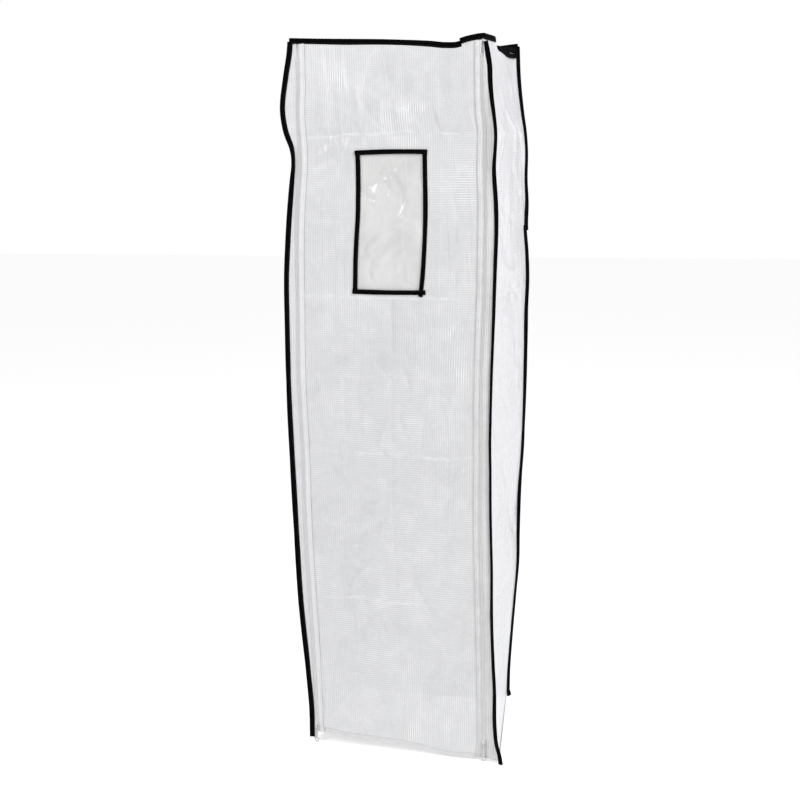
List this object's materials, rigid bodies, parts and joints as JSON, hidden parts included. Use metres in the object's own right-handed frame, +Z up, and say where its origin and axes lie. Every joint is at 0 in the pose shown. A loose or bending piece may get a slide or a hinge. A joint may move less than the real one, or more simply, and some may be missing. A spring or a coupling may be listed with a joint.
{
  "type": "greenhouse cover",
  "caption": "Tall narrow bottomless cover of net-reinforced clear film with black bound edges and a clear window in a front flap that opens with zips.",
  "frame": {"origin": "on the floor below the middle of the cover", "axes": "+Z up, the front with the flap faces -Y, +X to the right of someone who looks at the front"},
  "size_m": [0.45, 0.3156, 1.6],
  "materials": {
    "net_film": "satin",
    "clear_film": "gloss",
    "black_binding": "matte",
    "zip_tape": "matte",
    "zip_coil": "satin",
    "zip_metal": "gloss"
  },
  "bodies": {
    "cover": {"header_panel": "net_film", "left_side_panel": "net_film", "right_side_panel": "net_film", "back_panel": "net_film", "top_panel": "net_film", "front_left_corner_binding": "black_binding", "front_right_corner_binding": "black_binding", "rear_left_corner_binding": "black_binding", "rear_right_corner_binding": "black_binding", "top_front_binding": "black_binding", "top_front_binding_lap": "black_binding", "top_rear_binding": "black_binding", "top_left_binding": "black_binding", "top_right_binding": "black_binding", "left_jamb_zip_tape": "zip_tape", "left_header_zip_tape": "zip_tape", "left_jamb_zip_coil": "zip_coil", "left_header_zip_coil": "zip_coil", "left_zip_top_stop": "zip_metal", "left_jamb_zip_end_stop": "zip_metal", "right_jamb_zip_tape": "zip_tape", "right_header_zip_tape": "zip_tape", "right_jamb_zip_coil": "zip_coil", "right_header_zip_coil": "zip_coil", "right_zip_top_stop": "zip_metal", "right_jamb_zip_end_stop": "zip_metal"},
    "flap": {"flap_panel": "net_film", "window_pane": "clear_film", "window_top_binding": "black_binding", "window_bottom_binding": "black_binding", "window_left_binding": "black_binding", "window_right_binding": "black_binding", "left_flap_zip_tape": "zip_tape", "left_flap_zip_coil": "zip_coil", "left_flap_zip_end_stop": "zip_metal", "right_flap_zip_tape": "zip_tape", "right_flap_zip_coil": "zip_coil", "right_flap_zip_end_stop": "zip_metal"},
    "left_slider": {"left_zip_slider": "zip_metal"},
    "right_slider": {"right_zip_slider": "zip_metal"},
    "left_pull": {"left_zip_pull": "zip_metal"},
    "right_pull": {"right_zip_pull": "zip_metal"}
  },
  "joints": [
    {"name": "flap_lift", "type": "hinge", "parent": "cover", "child": "flap", "pos_m": [0, -0.1534, 1.4949], "axis": [-1, 0, 0], "range_deg": [0, 100]},
    {"name": "left_zip_travel", "type": "slide", "parent": "cover", "child": "left_slider", "axis": [0, 0, 1], "range_m": [0, 1.497]},
    {"name": "right_zip_travel", "type": "slide", "parent": "cover", "child": "right_slider", "axis": [0, 0, 1], "range_m": [0, 1.497]},
    {"name": "left_pull_swing", "type": "hinge", "parent": "left_slider", "child": "left_pull", "pos_m": [-0.1998, -0.1578, 0.0425], "axis": [-1, 0, 0], "range_deg": [0, 170]},
    {"name": "right_pull_swing", "type": "hinge", "parent": "right_slider", "child": "right_pull", "pos_m": [0.1998, -0.1578, 0.0425], "axis": [-1, 0, 0], "range_deg": [0, 170]}
  ]
}
